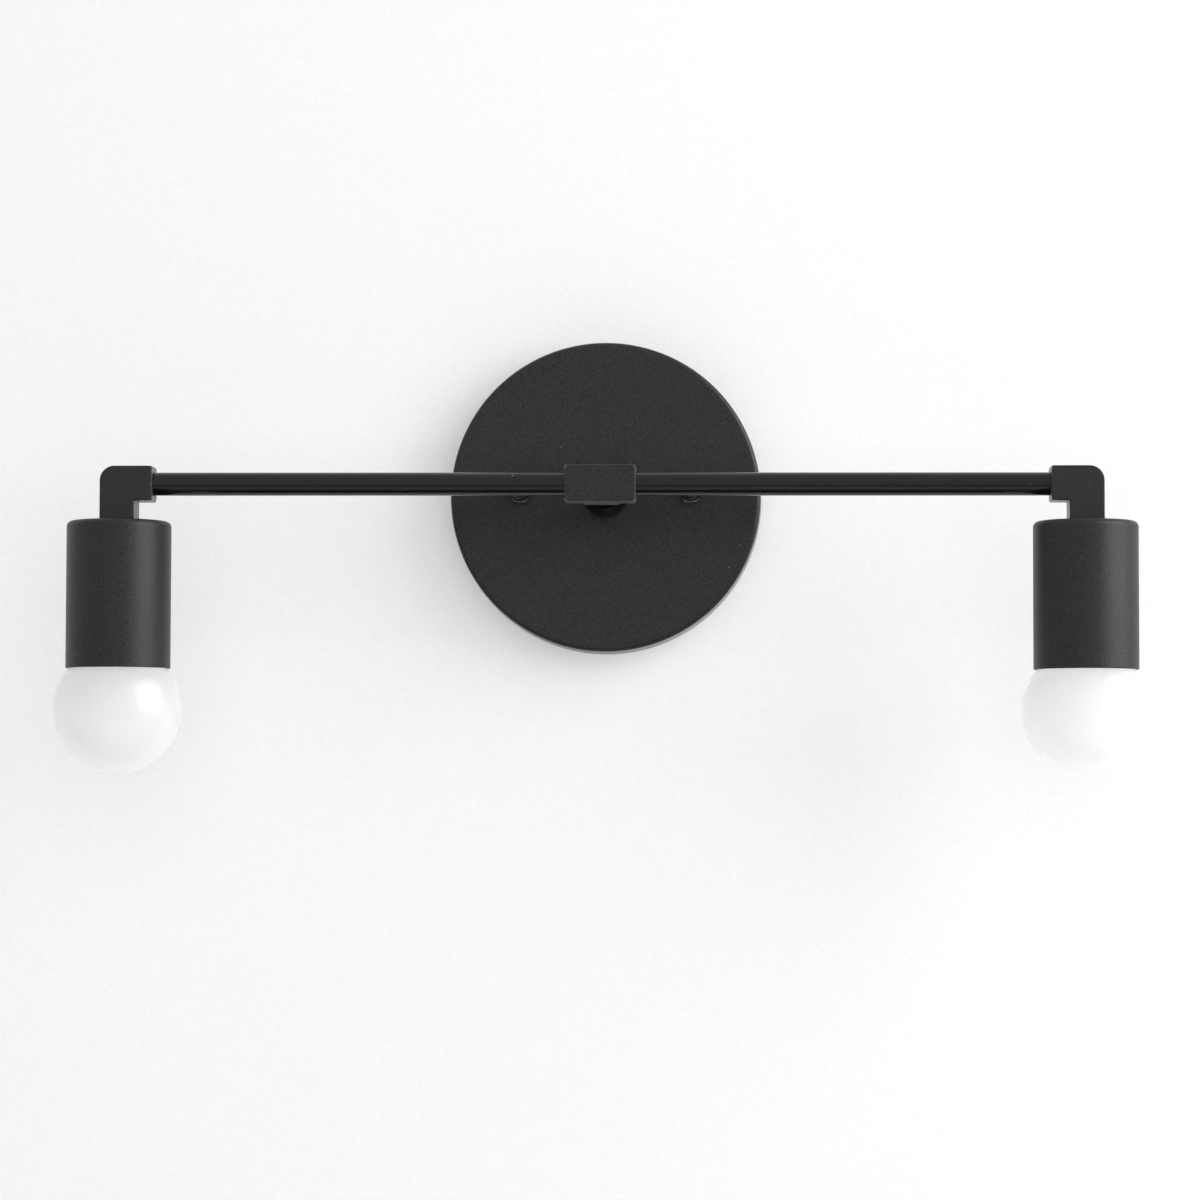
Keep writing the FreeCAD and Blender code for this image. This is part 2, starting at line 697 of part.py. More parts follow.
def make_cup(side, sign):
    """The cup with the threaded nipple, washer and locknut that clamp it to the elbow."""
    where = {"x": f"{sign} * arm_reach", "y": "-arm_standoff"}
    ring(f"elbow_nipple_{side}", "nipple_bore / 2", TUBE_RADIUS, NIPPLE_LOW, NIPPLE_TOP, **where)
    body = new_body(f"cup_{side}")
    outer = "cup_diameter / 2"
    revolve(body, [
        (WASHER_HOLE, CUP_CEILING), (CUP_INSIDE, CUP_CEILING), (CUP_INSIDE, CUP_MOUTH),
        (outer, CUP_MOUTH), (outer, ELBOW_FOOT), (WASHER_HOLE, ELBOW_FOOT)])
    round_edges(body, "cup_edge_radius", circle_at(outer, ELBOW_FOOT))
    round_edges(body, "cup_edge_radius - cup_wall", circle_at(CUP_INSIDE, CUP_CEILING))
    place(body, **where)
    lock_washer(f"cup_lock_washer_{side}", z=CUP_WASHER_LOW, **where)
    nut = hex_nut("locknut_flats", "locknut_thickness", THREAD_HOLE,
                  z=CUP_WASHER_LOW, turn=OVERTURNED, **where)
    node(nut, f"cup_locknut_{side}")


def make_bracket(side, sign):
    """The strap with a threaded boss that screws the lamp holder to the nipple."""
    where = {"x": f"{sign} * arm_reach", "y": "-arm_standoff"}
    strap = primitive("Box", Length="bracket_width", Width=f"2 * {BRACKET_END}",
                      Height="bracket_thickness")
    place(strap, x="-bracket_width / 2", y=f"-{BRACKET_END}", z=BRACKET_LOW)
    boss = cylinder("boss_diameter / 2", "boss_height + bracket_thickness", z=BRACKET_LOW)
    holes = [cylinder(THREAD_HOLE, "boss_height + bracket_thickness", z=BRACKET_LOW)]
    screws = []
    for way in (-1, 1):
        along = f"{way} * {BRACKET_SCREW_REACH}"
        holes.append(cylinder("bracket_screw_diameter / 2 + hardware_clearance", "bracket_thickness",
                              y=along, z=BRACKET_LOW))
        shank = cylinder("bracket_screw_diameter / 2", "bracket_screw_length + bracket_thickness",
                         z="-bracket_screw_length")
        head = cylinder("bracket_screw_head / 2", "bracket_head_thickness", z="bracket_thickness")
        screw = combine("Cut", fuse(shank, head),
                        driver_slot("bracket_screw_head", "bracket_thickness + bracket_head_thickness"))
        place(screw, x=where["x"], y=f"-arm_standoff + {along}", z=BRACKET_LOW)
        screws.append(screw)
    bracket = node(combine("Cut", fuse(strap, boss), fuse(*holes)), f"holder_bracket_{side}")
    place(bracket, **where)
    group(f"bracket_screws_{side}", screws)


def make_holder(side, sign):
    """The ceramic lamp holder: its local zero is its top, where the leads come in."""
    where = {"x": f"{sign} * arm_reach", "y": "-arm_standoff"}
    body = new_body(f"lamp_holder_{side}")
    floor_top = f"({FLOOR_TOP} - {BRACKET_LOW})"
    floor_low = f"({FLOOR_LOW} - {BRACKET_LOW})"
    mouth = f"({HOLDER_MOUTH} - {BRACKET_LOW})"
    outer = HOLDER_RADIUS
    bore = "(shell_bore / 2 + shell_wall + hardware_clearance)"
    revolve(body, [
        ("holder_recess / 2", "0"), (outer, "0"), (outer, mouth), (bore, mouth), (bore, floor_low),
        ("0", floor_low), ("0", floor_top), ("holder_recess / 2", floor_top)])
    round_edges(body, "holder_edge_radius", circle_at(outer, mouth))
    shank = "rivet_diameter / 2 + fit_clearance"
    drill(body, [(f"{-sign} * shell_rivet_reach", "0", shank),
                 (f"{sign} * contact_rivet_reach", "0", shank)])
    screw_hole = "bracket_screw_diameter / 2 + fit_clearance"
    drill(body, [("0", f"{way} * {BRACKET_SCREW_REACH}", screw_hole) for way in (-1, 1)],
          depth="bracket_screw_length + nipple_end_gap")
    place(body, z=BRACKET_LOW, **where)

    shell = new_body(f"screw_shell_{side}")
    inner = "shell_bore / 2"
    revolve(shell, [
        ("shell_opening / 2", "0"), ("shell_opening / 2", "-shell_wall"), (inner, "-shell_wall"),
        (inner, "-shell_height"), (f"{inner} + shell_wall", "-shell_height"),
        (f"{inner} + shell_wall", "0")])
    drill(shell, [(f"{-sign} * shell_rivet_reach", "0", shank)])
    place(shell, z=FLOOR_LOW, **where)

    contact = new_body(f"center_contact_{side}")
    pad_end = f"{sign} * (contact_rivet_reach + rivet_head / 2)"
    pad_start = f"{sign} * (contact_rivet_reach - rivet_head / 2)"
    step = f"{sign} * (contact_rivet_reach - rivet_head / 2 - contact_drop)"
    tongue_end = f"{sign} * (contact_rivet_reach + rivet_head / 2 - contact_length)"
    low = "-contact_thickness"
    dropped = "-contact_drop"
    pad_outline(contact, [
        (pad_end, "0"), (pad_start, "0"), (step, dropped), (tongue_end, dropped),
        (tongue_end, f"{dropped} + {low}"), (step, f"{dropped} + {low}"), (pad_start, low),
        (pad_end, low)], "contact_width", "XZ_Plane")
    drill(contact, [(f"{sign} * contact_rivet_reach", "0", shank)])
    place(contact, z=FLOOR_LOW, **where)

    rivets = []
    for reach, clamped in ((f"{-sign} * shell_rivet_reach", "shell_wall"),
                           (f"{sign} * contact_rivet_reach", "contact_thickness")):
        span = f"(holder_floor + {clamped})"
        pin = cylinder("rivet_diameter / 2", span, z=f"-{clamped}")
        head = cylinder("rivet_head / 2", "rivet_head_thickness", z="holder_floor")
        foot = cylinder("rivet_head / 2 - rivet_foot_thickness", "rivet_foot_thickness",
                        z=f"-{clamped} - rivet_foot_thickness")
        rivet = fuse(pin, head, foot)
        place(rivet, x=f"{where['x']} + {reach}", y=where["y"], z=FLOOR_LOW)
        rivets.append(rivet)
    group(f"holder_rivets_{side}", rivets)


def globe_form(shrink):
    """A ball, its tangent neck cone and its neck, all smaller by the given wall."""
    ball_radius = f"({GLOBE_RADIUS} - {shrink})"
    neck_radius = f"(neck_diameter / 2 - {shrink})"
    reach = f"sqrt(pow(neck_diameter / 2; 2) + pow({BASE_RIM}; 2))"
    slope = f"(atan(neck_diameter / 2 / {BASE_RIM}) + acos({GLOBE_RADIUS} / {reach}))"
    low = f"({ball_radius} * cos({slope}))"
    wide = f"({ball_radius} * sin({slope}))"
    rise = f"(({wide} - {neck_radius}) / cos({slope}) * sin({slope}))"
    ball = primitive("Sphere", Radius=ball_radius)
    shoulder = cone(wide, neck_radius, rise, z=low)
    neck = cylinder(neck_radius, f"{BASE_RIM} + neck_length - ({low} + {rise})", z=f"{low} + {rise}")
    return fuse(ball, shoulder, neck)


def make_bulb(side, sign):
    """The globe bulb, in a frame at the centre of its glass."""
    where = {"x": f"{sign} * arm_reach", "y": "-arm_standoff", "z": GLOBE_HEIGHT}
    glass = combine("Cut", globe_form("0"), globe_form("glass_wall"))
    place(node(glass, f"bulb_globe_{side}"), **where)
    outer = "base_diameter / 2"
    ring(f"bulb_base_{side}", f"{outer} - base_wall", outer, BASE_RIM, BASE_TOP, **where)
    insulator = cone(outer, "insulator_top / 2", "insulator_height",
                     x=where["x"], y=where["y"], z=f"{GLOBE_HEIGHT} + {BASE_TOP}")
    node(insulator, f"bulb_insulator_{side}")
    tip = new_body(f"bulb_tip_{side}")
    revolve(tip, [("0", TIP_LOW), ("tip_diameter / 2", TIP_LOW), ("tip_diameter / 2", TIP_TOP),
                  ("0", TIP_TOP)])
    round_edges(tip, "tip_edge_radius", circle_at("tip_diameter / 2", TIP_TOP))
    place(tip, **where)

    mount = new_body(f"bulb_mount_{side}")
    rim = f"({BASE_RIM} + neck_length)"
    revolve(mount, [
        ("0", rim), ("mount_flare / 2", rim), ("mount_post / 2", f"{rim} - flare_height"),
        ("mount_post / 2", f"{rim} - mount_length"), ("0", f"{rim} - mount_length")])
    place(mount, **where)
    centre = FreeCAD.Vector(value(where["x"]), value(where["y"]), value(where["z"]))
    wires = []
    post_end = f"{rim} - mount_length - support_wire_gap"
    for way in (-1, 1):
        top = FreeCAD.Vector(way * value("support_wire_spread / 2"), 0, value(post_end))
        low = FreeCAD.Vector(way * value("filament_radius"), 0,
                             value("filament_thickness / 2 + support_wire_diameter - filament_drop"))
        wires.append(Part.makeCylinder(value("support_wire_diameter / 2"), (low - top).Length, top, low - top))
    supports = node(doc.addObject("Part::Feature", f"bulb_supports_{side}"), f"bulb_supports_{side}")
    supports.Shape = Part.makeCompound(wires)
    supports.Placement = FreeCAD.Placement(centre, UPRIGHT)
    filament = primitive("Torus", Radius1="filament_radius", Radius2="filament_thickness / 2")
    filament.Angle3 = 180
    place(node(filament, f"bulb_filament_{side}"), x=where["x"], y=where["y"],
          z=f"{GLOBE_HEIGHT} - filament_drop")


def make_leads(side, sign):
    """The black and the white lead of one lamp holder, whole from rivet to splice."""
    offset = value("lead_offset")
    reach = value("arm_reach")
    front = -value("arm_standoff")
    depth = -value("splice_standoff")
    splice = value("splice_reach + splice_insert")
    bend_low = value(f"{BRACKET_LOW} - lead_diameter / 2")
    end_low = value(f"{RIVET_TOP} + lead_end_gap")
    lean = value("lead_end_lean")
    for colour, way, rivet in (("black", 1, value("contact_rivet_reach")),
                               ("white", -1, -value("shell_rivet_reach"))):
        drop = reach + way * offset
        points = [
            (sign * offset, depth, way * splice),
            (sign * offset, depth, way * offset),
            (sign * offset, front, way * offset),
            (sign * drop, front, way * offset),
            (sign * drop, front, bend_low),
            (sign * (reach + rivet - way * lean), front, end_low)]
        elbow_radius = value("elbow_bend_radius") + (1 + way) * offset
        radii = [value("canopy_bend_radius"), value("hub_bend_radius"), elbow_radius,
                 value("holder_bend_radius")]
        tube_along(f"{colour}_lead_{side}", points, radii, value("lead_diameter"))


def make_wire_nut(colour, turn, way):
    """The splice cap over the two leads of one colour, open toward the stem."""
    body = new_body(f"{colour}_wire_nut")
    mouth = "wire_nut_bore / 2"
    revolve(body, [
        (mouth, "0"), ("wire_nut_diameter / 2", "0"), ("wire_nut_diameter / 2", "wire_nut_skirt"),
        ("wire_nut_tip / 2", "wire_nut_length"), ("0", "wire_nut_length"), ("0", "wire_nut_depth"),
        (mouth, "wire_nut_depth")])
    place(body, y="-splice_standoff", z=f"{way} * splice_reach", turn=turn)


make_mounting_plate()
make_studs()
make_canopy()
make_stem()
make_ground_parts()
make_hub()
make_wire_nut("black", UPRIGHT, 1)
make_wire_nut("white", OVERTURNED, -1)
for side_name, side_sign in SIDES:
    make_cap_nut(side_name, side_sign)
    make_arm(side_name, side_sign)
    make_elbow(side_name, side_sign)
    make_cup(side_name, side_sign)
    make_bracket(side_name, side_sign)
    make_holder(side_name, side_sign)
    make_bulb(side_name, side_sign)
    make_leads(side_name, side_sign)

doc.recompute()
for item in doc.Objects:
    if "Invalid" in item.State or "Error" in item.State:
        raise ValueError(f"{item.Label} did not compute: {item.State}")
for item in nodes:
    if item.Shape.isNull() or not item.Shape.isValid():
        raise ValueError(f"{item.Label} has no valid shape")

os.makedirs("parts", exist_ok=True)
for item in nodes:
    item.Shape.exportStep(f"parts/{item.Label}.step")
print(len(nodes), "nodes written")
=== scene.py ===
import math

import bmesh
import bpy
from mathutils import Matrix, Vector


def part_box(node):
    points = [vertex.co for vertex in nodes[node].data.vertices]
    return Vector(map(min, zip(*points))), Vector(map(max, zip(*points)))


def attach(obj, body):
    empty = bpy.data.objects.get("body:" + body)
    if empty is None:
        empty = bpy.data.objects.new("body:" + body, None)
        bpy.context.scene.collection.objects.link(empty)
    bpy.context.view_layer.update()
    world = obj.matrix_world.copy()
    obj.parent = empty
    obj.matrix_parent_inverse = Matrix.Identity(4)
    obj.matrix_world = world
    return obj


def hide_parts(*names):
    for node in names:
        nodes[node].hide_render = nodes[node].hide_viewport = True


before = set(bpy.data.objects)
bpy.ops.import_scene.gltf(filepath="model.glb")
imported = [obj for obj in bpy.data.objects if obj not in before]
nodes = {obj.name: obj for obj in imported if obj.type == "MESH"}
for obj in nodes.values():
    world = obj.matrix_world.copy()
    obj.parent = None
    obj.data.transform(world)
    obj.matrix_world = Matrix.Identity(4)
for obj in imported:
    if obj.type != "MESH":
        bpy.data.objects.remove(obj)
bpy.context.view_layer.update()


# Mounting plate, studs, nuts, straps and nipples: stamped and turned steel with a bright zinc plating,
# faintly cloudy over the fine grain of the metal. Two screws hold the plate to the wall box, and the
# studs, nuts and nipples hold the rest.

SIDES = (("left", -1), ("right", 1))


def new_skin(name, inputs):
    """An empty node group for a surface, with its entry and exit."""
    tree = bpy.data.node_groups.new(name, "ShaderNodeTree")
    for socket, kind, number in inputs:
        entry = tree.interface.new_socket(socket, in_out="INPUT", socket_type=f"NodeSocket{kind}")
        entry.default_value = number
    for socket, kind in (("Colour", "Color"), ("Roughness", "Float"), ("Normal", "Vector")):
        tree.interface.new_socket(socket, in_out="OUTPUT", socket_type=f"NodeSocket{kind}")
    return tree, tree.nodes.new("NodeGroupInput"), tree.nodes.new("NodeGroupOutput")


def put(tree, kind, settings=(), **inputs):
    """Adds a node. An input goes by its name, or by i and its number, and takes a number or a socket."""
    node = tree.nodes.new(f"ShaderNode{kind}")
    for name, choice in dict(settings).items():
        setattr(node, name, choice)
    for name, source in inputs.items():
        numbered = name[0] == "i" and name[1:].isdigit()
        socket = node.inputs[int(name[1:]) if numbered else name.replace("_", " ")]
        if isinstance(source, bpy.types.NodeSocket):
            tree.links.new(source, socket)
        else:
            socket.default_value = source
    return node


def blend_colours(tree, share, first, second):
    """Mixes two colours by a share."""
    return put(tree, "Mix", {"data_type": "RGBA"}, i0=share, i6=first, i7=second).outputs[2]


def around(tree, level, noise, spread):
    """A level that a noise moves up and down by half of the spread."""
    swing = put(tree, "Math", {"operation": "MULTIPLY_ADD"}, i0=noise, i1=spread, i2=-spread / 2)
    moved = put(tree, "Math", {"operation": "ADD", "use_clamp": True}, i0=level, i1=swing.outputs[0])
    return moved.outputs[0]


def close_skin(tree, entry, leave, colour, gloss, height, depth):
    """Leads a skin's colour, gloss and relief to its exit, the relief as deep as depth in metres."""
    bump = put(tree, "Bump", Strength=entry.outputs["Relief"], Distance=depth, Height=height)
    for socket, source in (("Colour", colour), ("Roughness", gloss), ("Normal", bump.outputs[0])):
        tree.links.new(source, leave.inputs[socket])
    return tree


def make_metal_skin():
    """Bare or plated metal: cloudy bloom, fine grain in gloss and relief."""
    tree, entry, leave = new_skin("metal skin", (
        ("Colour", "Color", (0.5, 0.5, 0.5, 1)), ("Bloom", "Color", (0.4, 0.4, 0.4, 1)),
        ("Roughness", "Float", 0.3), ("Relief", "Float", 0.2)))
    where = put(tree, "TexCoord").outputs["Object"]
    cloud = put(tree, "TexNoise", Vector=where, Scale=130, Detail=4, Roughness=0.6).outputs[0]
    patch = put(tree, "MapRange", Value=cloud, From_Min=0.4, From_Max=0.62).outputs[0]
    grain = put(tree, "TexNoise", Vector=where, Scale=2400, Detail=3, Roughness=0.55).outputs[0]
    colour = blend_colours(tree, patch, entry.outputs["Colour"], entry.outputs["Bloom"])
    gloss = around(tree, around(tree, entry.outputs["Roughness"], cloud, 0.16), grain, 0.14)
    return close_skin(tree, entry, leave, colour, gloss, grain, 0.00004)


def made_of(name, skin, values, plain=()):
    """A material: colour, roughness and relief from a skin, plain numbers on its shader."""
    material = bpy.data.materials.new(name)
    material.use_nodes = True
    tree = material.node_tree
    shader = tree.nodes["Principled BSDF"]
    surface = tree.nodes.new("ShaderNodeGroup")
    surface.node_tree = skin
    for socket, number in values.items():
        surface.inputs[socket].default_value = (*number, 1) if isinstance(number, tuple) else number
    for socket, target in (("Colour", "Base Color"), ("Roughness", "Roughness"), ("Normal", "Normal")):
        tree.links.new(surface.outputs[socket], shader.inputs[target])
    for socket, number in dict(plain).items():
        shader.inputs[socket].default_value = number
    return material


def dress(material, *names):
    """Gives solids of the frame their finish."""
    for name in names:
        for slot in nodes[name].material_slots:
            slot.material = material


def both(*names):
    """The left and the right node of each name."""
    return [f"{name}_{side}" for name in names for side, sign in SIDES]


METAL = {"Metallic": 1.0}
metal_skin = make_metal_skin()
zinc = made_of("bright zinc plate", metal_skin, {
    "Colour": (0.62, 0.64, 0.67), "Bloom": (0.50, 0.53, 0.58), "Roughness": 0.32, "Relief": 0.25}, METAL)
dress(zinc, "mounting_plate", "canopy_studs", "stud_nuts", "stem_locknut",
      *both("elbow_nipple", "cup_locknut", "holder_bracket", "bracket_screws"))


# Ground parts and spring washers: a green ground screw, a tinned ring terminal, bare copper wire and
# split washers of blued spring steel. They are bought parts, dull from handling.


def make_coat_skin():
    """Sprayed coat: grain in shade, gloss and relief, a slow change of gloss, a few specks of dust."""
    tree, entry, leave = new_skin("coat skin", (
        ("Colour", "Color", (0.02, 0.02, 0.02, 1)), ("Dust", "Color", (0.3, 0.3, 0.3, 1)),
        ("Roughness", "Float", 0.5), ("Grain", "Float", 1800.0), ("Mottle", "Float", 0.5),
        ("Relief", "Float", 0.3)))
    where = put(tree, "TexCoord").outputs["Object"]
    slow = put(tree, "TexNoise", Vector=where, Scale=45, Detail=3, Roughness=0.5).outputs[0]
    fine = put(tree, "TexNoise", Vector=where, Scale=entry.outputs["Grain"], Detail=4, Roughness=0.65)
    grain = fine.outputs[0]
    cells = put(tree, "TexVoronoi", Vector=where, Scale=170)
    near = put(tree, "Math", {"operation": "LESS_THAN"}, i0=cells.outputs["Distance"], i1=0.045)
    lot = put(tree, "SeparateColor", i0=cells.outputs["Color"])
    rare = put(tree, "Math", {"operation": "GREATER_THAN"}, i0=lot.outputs[0], i1=0.6)
    speck = put(tree, "Math", {"operation": "MULTIPLY"}, i0=near.outputs[0], i1=rare.outputs[0])
    swing = put(tree, "MapRange", Value=grain, From_Min=0.36, From_Max=0.64, To_Min=-1, To_Max=1)
    level = put(tree, "Math", {"operation": "MULTIPLY_ADD"},
                i0=swing.outputs[0], i1=entry.outputs["Mottle"], i2=1)
    shade = put(tree, "HueSaturation", Value=level.outputs[0], Color=entry.outputs["Colour"])
    colour = blend_colours(tree, speck.outputs[0], shade.outputs[0], entry.outputs["Dust"])
    gloss = around(tree, around(tree, entry.outputs["Roughness"], slow, 0.10), grain, 0.10)
    return close_skin(tree, entry, leave, colour, gloss, grain, 0.00012)


coat_skin = make_coat_skin()
dress(made_of("green screw paint", coat_skin, {
    "Colour": (0.03, 0.22, 0.06), "Dust": (0.2, 0.35, 0.2), "Roughness": 0.4, "Relief": 0.2}),
    "ground_screw")
dress(made_of("tinned brass", metal_skin, {
    "Colour": (0.70, 0.66, 0.56), "Bloom": (0.58, 0.52, 0.40), "Roughness": 0.38}, METAL),
    "ground_lug")
dress(made_of("bare copper", metal_skin, {
    "Colour": (0.78, 0.34, 0.18), "Bloom": (0.50, 0.20, 0.11), "Roughness": 0.34}, METAL),
    "ground_wire")
dress(made_of("spring steel", metal_skin, {
    "Colour": (0.30, 0.31, 0.34), "Bloom": (0.20, 0.21, 0.25), "Roughness": 0.36}, METAL),
    "stem_lock_washer", *both("cup_lock_washer", "bulb_supports"))


# Canopy: a spun steel dish with a flat face and a small round edge, open to the wall, its side a little
# wider at the wall than in front. A matte black powder coat with a fine grain rounds every edge. The
# cap nuts hold it against the wall.

TO_ROOM = Vector((0, -1, 0))
UP = Vector((0, 0, 1))
RIGHT = Vector((1, 0, 0))
TOUCH = 1e-6


def clear():
    """Leaves edit mode with nothing selected."""
    if bpy.context.mode != "OBJECT":
        bpy.ops.object.mode_set(mode="OBJECT")
    bpy.ops.object.select_all(action="DESELECT")


def start(name, add, **shape):
    """Adds a primitive at its size and place, with its place in its mesh, and opens it for shaping."""
    clear()
    add(**shape)
    piece = bpy.context.object
    piece.name = piece.data.name = name
    bpy.ops.object.transform_apply(location=True, rotation=True, scale=True)
    bpy.ops.object.mode_set(mode="EDIT")
    return piece


def take(piece):
    """Selects one piece alone, as an object."""
    clear()
    bpy.context.view_layer.objects.active = piece
    piece.select_set(True)


def reopen(piece):
    """Opens a finished mesh for more shaping, all of it selected."""
    take(piece)
    bpy.ops.object.mode_set(mode="EDIT")
    bpy.ops.mesh.select_all(action="SELECT")


def pick(piece, kind, wanted):
    """In edit mode, selects only the verts, edges or faces whose middle passes a test."""
    bpy.ops.mesh.select_mode(type=kind)
    bpy.ops.mesh.select_all(action="DESELECT")
    mesh = bmesh.from_edit_mesh(piece.data)
    for item in {"VERT": mesh.verts, "EDGE": mesh.edges, "FACE": mesh.faces}[kind]:
        corners = [item] if kind == "VERT" else item.verts
        if wanted(sum((corner.co for corner in corners), Vector()) / len(corners)):
            item.select_set(True)
    mesh.select_flush_mode()
    bmesh.update_edit_mesh(piece.data)


def apply_modifier(piece, kind, **settings):
    """Adds a modifier and applies it."""
    take(piece)
    modifier = piece.modifiers.new(kind.lower(), kind)
    for name, choice in settings.items():
        setattr(modifier, name, choice)
    bpy.ops.object.modifier_apply(modifier=modifier.name)


def smooth(piece, degrees=35):
    """Shades round faces smooth, and keeps the flat ones flat up to their small edges."""
    take(piece)
    bpy.ops.object.shade_smooth_by_angle(angle=math.radians(degrees))
    apply_modifier(piece, "WEIGHTED_NORMAL", keep_sharp=True)


def turn(name, outline, centre, along, steps=128, segments=6):
    """Turns an outline of (radius, height, rounding) corners about an axis, as on a lathe."""
    out = RIGHT if abs(along.z) > 0.5 else UP
    spots = [centre + out * radius + along * height for radius, height, rounding in outline]
    piece = start(name, bpy.ops.mesh.primitive_plane_add, size=0.0001, location=spots[0])
    bpy.ops.mesh.select_mode(type="VERT")
    bpy.ops.mesh.select_all(action="SELECT")
    bpy.ops.mesh.merge(type="CENTER")
    for here, there in zip(spots, spots[1:]):
        bpy.ops.mesh.extrude_region_move(TRANSFORM_OT_translate={"value": tuple(there - here)})
    ends = (spots[0], spots[-1])
    if outline[0][0] or outline[-1][0]:
        pick(piece, "VERT", lambda p: min((p - end).length for end in ends) < TOUCH)
        bpy.ops.mesh.edge_face_add()
    for spot, (radius, height, rounding) in zip(spots, outline):
        if rounding:
            pick(piece, "VERT", lambda p: (p - spot).length < TOUCH)
            bpy.ops.mesh.bevel(offset=rounding, segments=segments, affect="VERTICES")
    bpy.ops.mesh.select_all(action="SELECT")
    bpy.ops.mesh.spin(steps=steps, angle=2 * math.pi, use_auto_merge=True, center=centre, axis=along)
    bpy.ops.mesh.select_all(action="SELECT")
    bpy.ops.mesh.remove_doubles(threshold=TOUCH)
    bpy.ops.mesh.normals_make_consistent(inside=False)
    clear()
    return piece


def fit(piece, material, slot, body, *replaced):
    """Gives a finished piece its material and its body, and hides the solids that it stands for."""
    piece.data.materials.clear()
    piece.data.materials.append(material)
    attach(piece, body)
    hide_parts(*replaced)


powder = made_of("matte black powder coat", coat_skin, {
    "Colour": (0.0135, 0.0135, 0.0135), "Dust": (0.12, 0.12, 0.12), "Roughness": 0.31,
    "Grain": 2400.0, "Mottle": 0.95, "Relief": 0.4},
    {"Specular IOR Level": 0.3, "Sheen Weight": 0.15, "Sheen Roughness": 0.3})
STEM_HOLE, DISH_WALL, DISH_DRAFT = 0.00516, 0.001, 0.0005
FACE_ROUNDING, INSIDE_ROUNDING, RIM_ROUNDING = 0.002, 0.001, 0.0003
low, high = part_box("canopy")
dish_radius, dish_depth = high.x, -low.y
canopy = turn("canopy_dish", [
    (STEM_HOLE, dish_depth, 0),
    (dish_radius - DISH_DRAFT, dish_depth, FACE_ROUNDING),
    (dish_radius, 0, RIM_ROUNDING),
    (dish_radius - DISH_WALL, 0, RIM_ROUNDING),
    (dish_radius - DISH_DRAFT - DISH_WALL, dish_depth - DISH_WALL, INSIDE_ROUNDING),
    (STEM_HOLE, dish_depth - DISH_WALL, 0)], Vector(), TO_ROOM, 224, 8)
smooth(canopy)
fit(canopy, powder, "black_coat", "fixture", "canopy")


# Stem: a steel tube with a pipe thread at the back, held in the canopy by a collar in front and a
# locknut behind. The tube is painted with a smoother black than the coat on the cast pieces.

satin = made_of("satin black tube paint", coat_skin, {
    "Colour": (0.005, 0.005, 0.005), "Dust": (0.25, 0.25, 0.25), "Roughness": 0.16,
    "Grain": 700.0, "Mottle": 0.12, "Relief": 0.02}, {"Specular IOR Level": 0.32})
TUBE_BORE, TUBE_ROUNDING = 0.00375, 0.0003
PIPE_PITCH, PIPE_TURNS, PIPE_GROOVE = 0.0254 / 27, 8, 0.0004
low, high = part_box("stem_tube")
tube_radius, back_end = high.x, -high.y
outline = [(TUBE_BORE, back_end, 0)]
for step in range(PIPE_TURNS):
    outline += [(tube_radius - PIPE_GROOVE, back_end + step * PIPE_PITCH, 0),
                (tube_radius, back_end + (step + 0.5) * PIPE_PITCH, 0)]
outline += [(tube_radius, -low.y, TUBE_ROUNDING), (TUBE_BORE, -low.y, 0)]
stem = turn("stem_pipe", outline, Vector(), TO_ROOM, 64)
smooth(stem, 25)
fit(stem, satin, "black_paint", "fixture", "stem_tube")

low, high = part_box("stem_collar")
collar_bore = tube_radius + 0.00003
collar = turn("stem_seat_collar", [
    (collar_bore, -low.y, 0.0007), (high.x, -low.y, 0.0004), (high.x, -high.y, 0.0002),
    (collar_bore, -high.y, 0)], Vector(), TO_ROOM, 96)
smooth(collar)
fit(collar, satin, "black_paint", "fixture", "stem_collar")


# Cap nuts: two small hexagon nuts with a domed end, on the studs through the canopy. Their corners are
# chamfered toward the dome, and their black paint is glossier than the rest.


def carve(piece, tool, how):
    """Joins a tool to a piece, cuts it out, or keeps what both share."""
    apply_modifier(piece, "BOOLEAN", operation=how, object=tool, solver="EXACT")
    bpy.data.objects.remove(tool)


